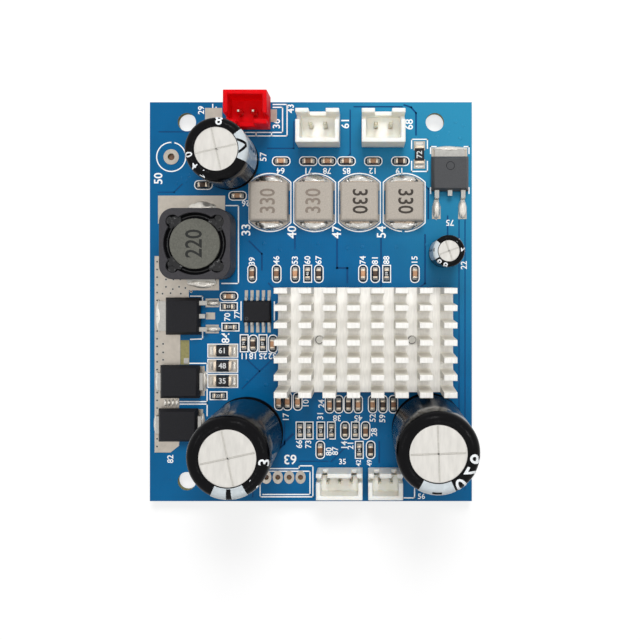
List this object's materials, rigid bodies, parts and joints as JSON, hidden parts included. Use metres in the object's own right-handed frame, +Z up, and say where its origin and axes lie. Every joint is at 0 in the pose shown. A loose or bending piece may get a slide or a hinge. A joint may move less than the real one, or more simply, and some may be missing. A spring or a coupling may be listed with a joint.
{
  "type": "audio amplifier board",
  "caption": "Flat blue amplifier circuit board with a pin-fin heatsink, upright can capacitors, inductors and shrouded plug headers along two edges, held by screws through corner holes.",
  "frame": {"origin": "centre of the four mounting holes, on the underside of the board", "axes": "+X across the board towards the regulator, +Y along the board towards the speaker headers, +Z up out of the component side"},
  "size_m": [0.0564, 0.0709, 0.0283],
  "materials": {
    "laminate": "satin blue solder mask on glass-fibre laminate",
    "tin": "bright tin plate",
    "anodised_aluminium": "pale anodised, satin",
    "steel": "zinc plated",
    "silicone_pad": "soft grey silicone",
    "black_epoxy": "moulded epoxy",
    "grey_epoxy": "moulded epoxy",
    "can_aluminium": "drawn aluminium",
    "black_sleeve": "shrink sleeve",
    "bung_rubber": "moulded rubber",
    "ferrite": "ground ferrite",
    "drum_ferrite": "ground ferrite",
    "enamelled_copper": "enamelled wire",
    "iron_powder": "pressed iron powder",
    "copper_strap": "tinned copper strap",
    "red_nylon": "moulded nylon",
    "white_nylon": "moulded nylon",
    "pin_brass": "tin-plated brass",
    "chip_ceramic": "fired ceramic",
    "resistor_glaze": "overglaze"
  },
  "bodies": {
    "root": {"circuit_board": "laminate", "tinned_copper": "tin", "heatsink": "anodised_aluminium", "heatsink_screws": "steel", "thermal_pad": "silicone_pad", "amplifier_chip": "black_epoxy", "amplifier_chip_leads": "tin", "bulk_capacitor_left_can": "can_aluminium", "bulk_capacitor_left_sleeve": "black_sleeve", "bulk_capacitor_left_bung": "bung_rubber", "bulk_capacitor_left_leads": "tin", "bulk_capacitor_right_can": "can_aluminium", "bulk_capacitor_right_sleeve": "black_sleeve", "bulk_capacitor_right_bung": "bung_rubber", "bulk_capacitor_right_leads": "tin", "supply_capacitor_can": "can_aluminium", "supply_capacitor_sleeve": "black_sleeve", "supply_capacitor_bung": "bung_rubber", "supply_capacitor_leads": "tin", "bias_capacitor_can": "can_aluminium", "bias_capacitor_sleeve": "black_sleeve", "bias_capacitor_bung": "bung_rubber", "bias_capacitor_leads": "tin", "boost_inductor_core": "drum_ferrite", "boost_inductor_shield": "ferrite", "boost_inductor_winding": "enamelled_copper", "boost_inductor_terminals": "tin", "output_inductor_1": "iron_powder", "output_inductor_terminals_1": "copper_strap", "output_inductor_2": "iron_powder", "output_inductor_terminals_2": "copper_strap", "output_inductor_3": "iron_powder", "output_inductor_terminals_3": "copper_strap", "output_inductor_4": "iron_powder", "output_inductor_terminals_4": "copper_strap", "regulator_body": "grey_epoxy", "regulator_leadframe": "tin", "switch_transistor_body": "black_epoxy", "switch_transistor_leadframe": "tin", "rectifier_diode_upper": "black_epoxy", "rectifier_diode_upper_terminals": "tin", "rectifier_diode_lower": "black_epoxy", "rectifier_diode_lower_terminals": "tin", "boost_controller": "black_epoxy", "boost_controller_leads": "tin", "power_header_housing": "red_nylon", "power_header_pins": "pin_brass", "speaker_header_left_housing": "white_nylon", "speaker_header_left_pins": "pin_brass", "speaker_header_right_housing": "white_nylon", "speaker_header_right_pins": "pin_brass", "signal_header_housing": "white_nylon", "signal_header_pins": "pin_brass", "mute_header_housing": "white_nylon", "mute_header_pins": "pin_brass", "chip_capacitors": "chip_ceramic", "chip_resistors": "resistor_glaze", "chip_terminals": "tin", "solder_joints": "tin"}
  },
  "joints": []
}
